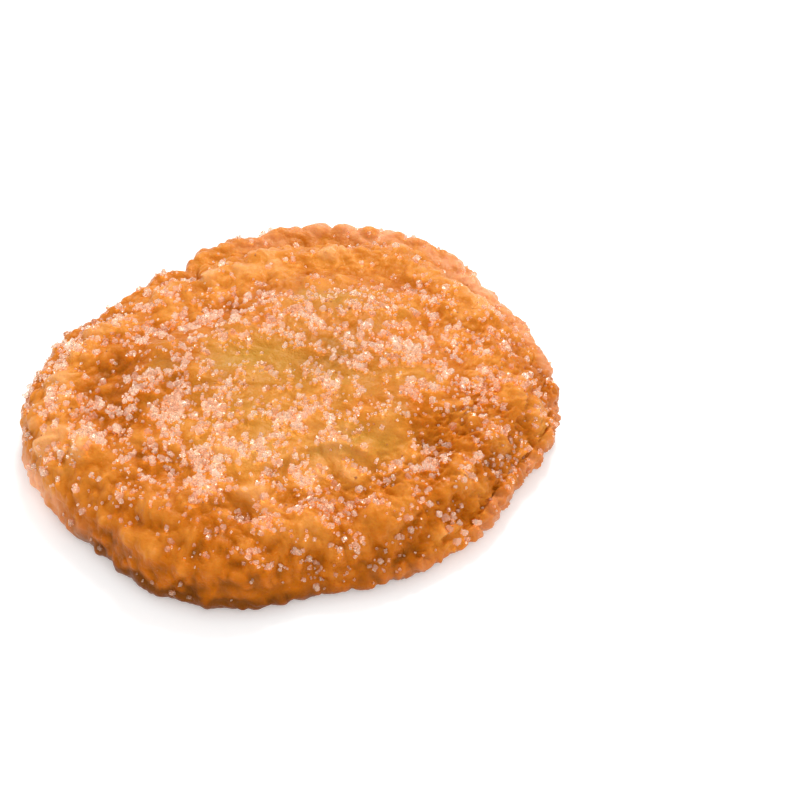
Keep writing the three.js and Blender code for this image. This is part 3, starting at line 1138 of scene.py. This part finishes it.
@dataclass
class Coat:
    """The cinnamon sugar: crystals, fine sugar and cinnamon, strewn on the crust by seeded draws.

    The sizes and the stains are beta draws. Grains are smaller down the sides, and tan there as painted
    shade.
    """

    crust: Crust
    upward: Pair = (0.2, 0.8)
    size_powers: Pair = (1.6, 2.2)
    stain_powers: Pair = (1.5, 2.6)
    heap_start: float = 0.5
    heap_most: float = 1.4
    drift_start: float = 0.7
    drift_stain: float = 0.25
    near_side: Pair = (22, 38)
    right_side: Pair = (34, 46)
    # Painted shade: grains on the near and right sides are made warmer and darker
    side_shade: float = 0.2
    side_shrink: float = 0.12
    stretch: Pair = (0.7, 1.25)
    unevenness: float = 0.3

    def strew(self, kind: GrainKind) -> Piece:
        """Makes one piece of all the grains of a kind.

        Args:
            kind: The kind of grain.

        Returns:
            The piece.
        """
        draws = np.random.default_rng(kind.seed)
        skin = self.crust.surface
        middles = skin.points[skin.triangles].mean(axis=1)
        facing = skin.normals[skin.triangles].mean(axis=1)
        density = self.crust.sugar.at(middles)
        weight = skin.areas * density**kind.evenness * smoothstep(facing[:, 2], *self.upward)
        chosen = draws.choice(len(weight), kind.count, p=weight / weight.sum())
        share = draws.dirichlet((1, 1, 1), kind.count)[:, :, None]
        corners = skin.triangles[chosen]
        seats = (skin.points[corners] * share).sum(axis=1)
        normals = unit((skin.normals[corners] * share).sum(axis=1))
        smallest, largest = kind.size
        sizes = smallest + (largest - smallest) * draws.beta(*self.size_powers, kind.count)
        near = smoothstep(-seats[:, 1], *self.near_side)
        side = np.maximum(near, smoothstep(seats[:, 0], *self.right_side))
        sizes = sizes * (1 - self.side_shrink * side)
        thick = density[chosen]
        heaped = np.clip(thick - self.heap_start, 0, self.heap_most) * kind.heap
        heaped = heaped * draws.uniform(0, 1, kind.count)
        seats = seats + normals * (heaped + sizes * (0.5 - kind.sunk))[:, None]
        # Cinnamon staining in drifts, plus painted shade and warm bounce light on the near and right sides
        stain_and_shade = self.drift_stain * np.clip(thick - self.drift_start, 0, 1) + self.side_shade * side
        tint_and_shade = np.clip(draws.beta(*self.stain_powers, kind.count) + stain_and_shade, 0, 1)
        grains, each = self.grains(kind, seats, sizes, draws)
        values = {"tint_and_shade": np.repeat(tint_and_shade, each)}
        piece = grains.piece(kind.piece, self.crust.seat, values, kind.finish.material())
        piece.visible_shadow = kind.shades
        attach(piece, "root")
        return piece

    def grains(
        self, kind: GrainKind, seats: Array, sizes: Array, draws: np.random.Generator
    ) -> tuple[Surface, int]:
        """Copies the kind's template to every seat, stretched and turned by random quaternions.

        Args:
            kind: The kind of grain.
            seats: The grains' middles.
            sizes: Their sizes.
            draws: The seeded draws.

        Returns:
            The grains as one mesh, and how many vertices each has.
        """
        template, triangles = crystal_template(kind.chamfer)
        count = len(seats)
        stretch = draws.uniform(*self.stretch, (count, 1, 3)) * sizes[:, None, None] / 2
        uneven = 1 + self.unevenness * draws.uniform(-1, 1, (count, *template.shape))
        turns = unit(draws.normal(size=(count, 1, 4)))
        cosine, axis = turns[..., :1], turns[..., 1:]
        points = template * uneven * stretch
        points = points + 2 * np.cross(axis, cosine * points + np.cross(axis, points)) + seats[:, None]
        offsets = np.arange(count)[:, None, None] * len(template)
        grains = Surface(points.reshape(-1, 3), (triangles[None] + offsets).reshape(-1, 3))
        return grains, len(template)

    def build(self) -> list[Piece]:
        """Strews every kind."""
        return [self.strew(kind) for kind in GRAINS]


# The studio


@dataclass(frozen=True)
class Lamp:
    """A square soft light that faces the fritter; its place and side are in millimetres."""

    name: str
    place: tuple[float, float, float]
    side: float
    watts: float

    def hang(self) -> None:
        """Adds the light to the scene."""
        lamp = bpy.data.lights.new(self.name, "AREA")
        lamp.size = self.side * MM
        lamp.energy = self.watts
        holder = bpy.data.objects.new(self.name, lamp)
        holder.location = np.array(self.place) * MM
        holder.rotation_euler = (-holder.location).to_track_quat("-Z", "Y").to_euler()
        bpy.context.scene.collection.objects.link(holder)


@dataclass(frozen=True)
class Studio:
    """A pale floor that glows a little, soft lights, and the photograph's viewing angle."""

    seat: Array
    floor_half: float = 4000
    floor_colour: Colour = (0.9, 0.9, 0.9)
    floor_roughness: float = 0.8
    floor_glow: float = 0.22
    sky: float = 0.74
    lamps: tuple[Lamp, ...] = (
        Lamp("back light", (120, 520, 620), side=280, watts=4.8),
        Lamp("front light", (150, -600, 700), side=600, watts=2.7),
    )
    camera_lens: float = 100
    camera_sensor: float = 36
    camera_elevation: float = math.radians(46)
    camera_distance: float = 455
    camera_target: tuple[float, float, float] = (22.5, 0, 11)

    def lay_floor(self) -> None:
        """A flat square that glows a little, and isn't part of the object."""
        half = self.floor_half
        corners = np.array([[-half, -half, 0], [half, -half, 0], [half, half, 0], [-half, half, 0]])
        shader = Shader("floor")
        shader.dress({"Base Color": self.floor_colour, "Roughness": self.floor_roughness})
        shader.dress({"Emission Color": WHITE, "Emission Strength": self.floor_glow})
        floor = Surface(corners, np.array([[0, 1, 2], [0, 2, 3]]))
        floor.piece("floor", np.zeros(3), {}, shader.material)

    def hang_lights(self) -> None:
        """White surroundings, a light behind and above, and a broader, weaker one in front."""
        world = bpy.data.worlds.new("studio")
        world.use_nodes = True
        background = world.node_tree.nodes["Background"]
        background.inputs["Color"].default_value = (*WHITE, 1)
        background.inputs["Strength"].default_value = self.sky
        bpy.context.scene.world = world
        for lamp in self.lamps:
            lamp.hang()

    def set_camera(self) -> None:
        """Looks down along +Y at the photograph's angle."""
        lens = bpy.data.cameras.new("camera")
        lens.lens = self.camera_lens
        lens.sensor_width = self.camera_sensor
        camera = bpy.data.objects.new("camera", lens)
        up, back = math.sin(self.camera_elevation), math.cos(self.camera_elevation)
        away = np.array([0, -back, up]) * self.camera_distance
        camera.location = (self.seat + self.camera_target + away) * MM
        camera.rotation_euler = (math.pi / 2 - self.camera_elevation, 0, 0)
        bpy.context.scene.collection.objects.link(camera)
        bpy.context.scene.camera = camera
        bpy.context.scene.view_settings.view_transform = "Standard"

    def build(self) -> None:
        """Sets up the whole studio round the fritter."""
        self.lay_floor()
        self.hang_lights()
        self.set_camera()


def main() -> None:
    """Builds the crust, its coat of sugar and the studio, and reports each piece."""
    logging.basicConfig(level=logging.INFO, format="%(message)s")
    section = Section()
    crust = Crust(section, Relief(section))
    for piece in (crust.build(), *Coat(crust).build()):
        LOG.info("%s: %d triangles", piece.name, len(piece.data.polygons))
    Studio(crust.seat).build()


if __name__ == "__main__":
    main()
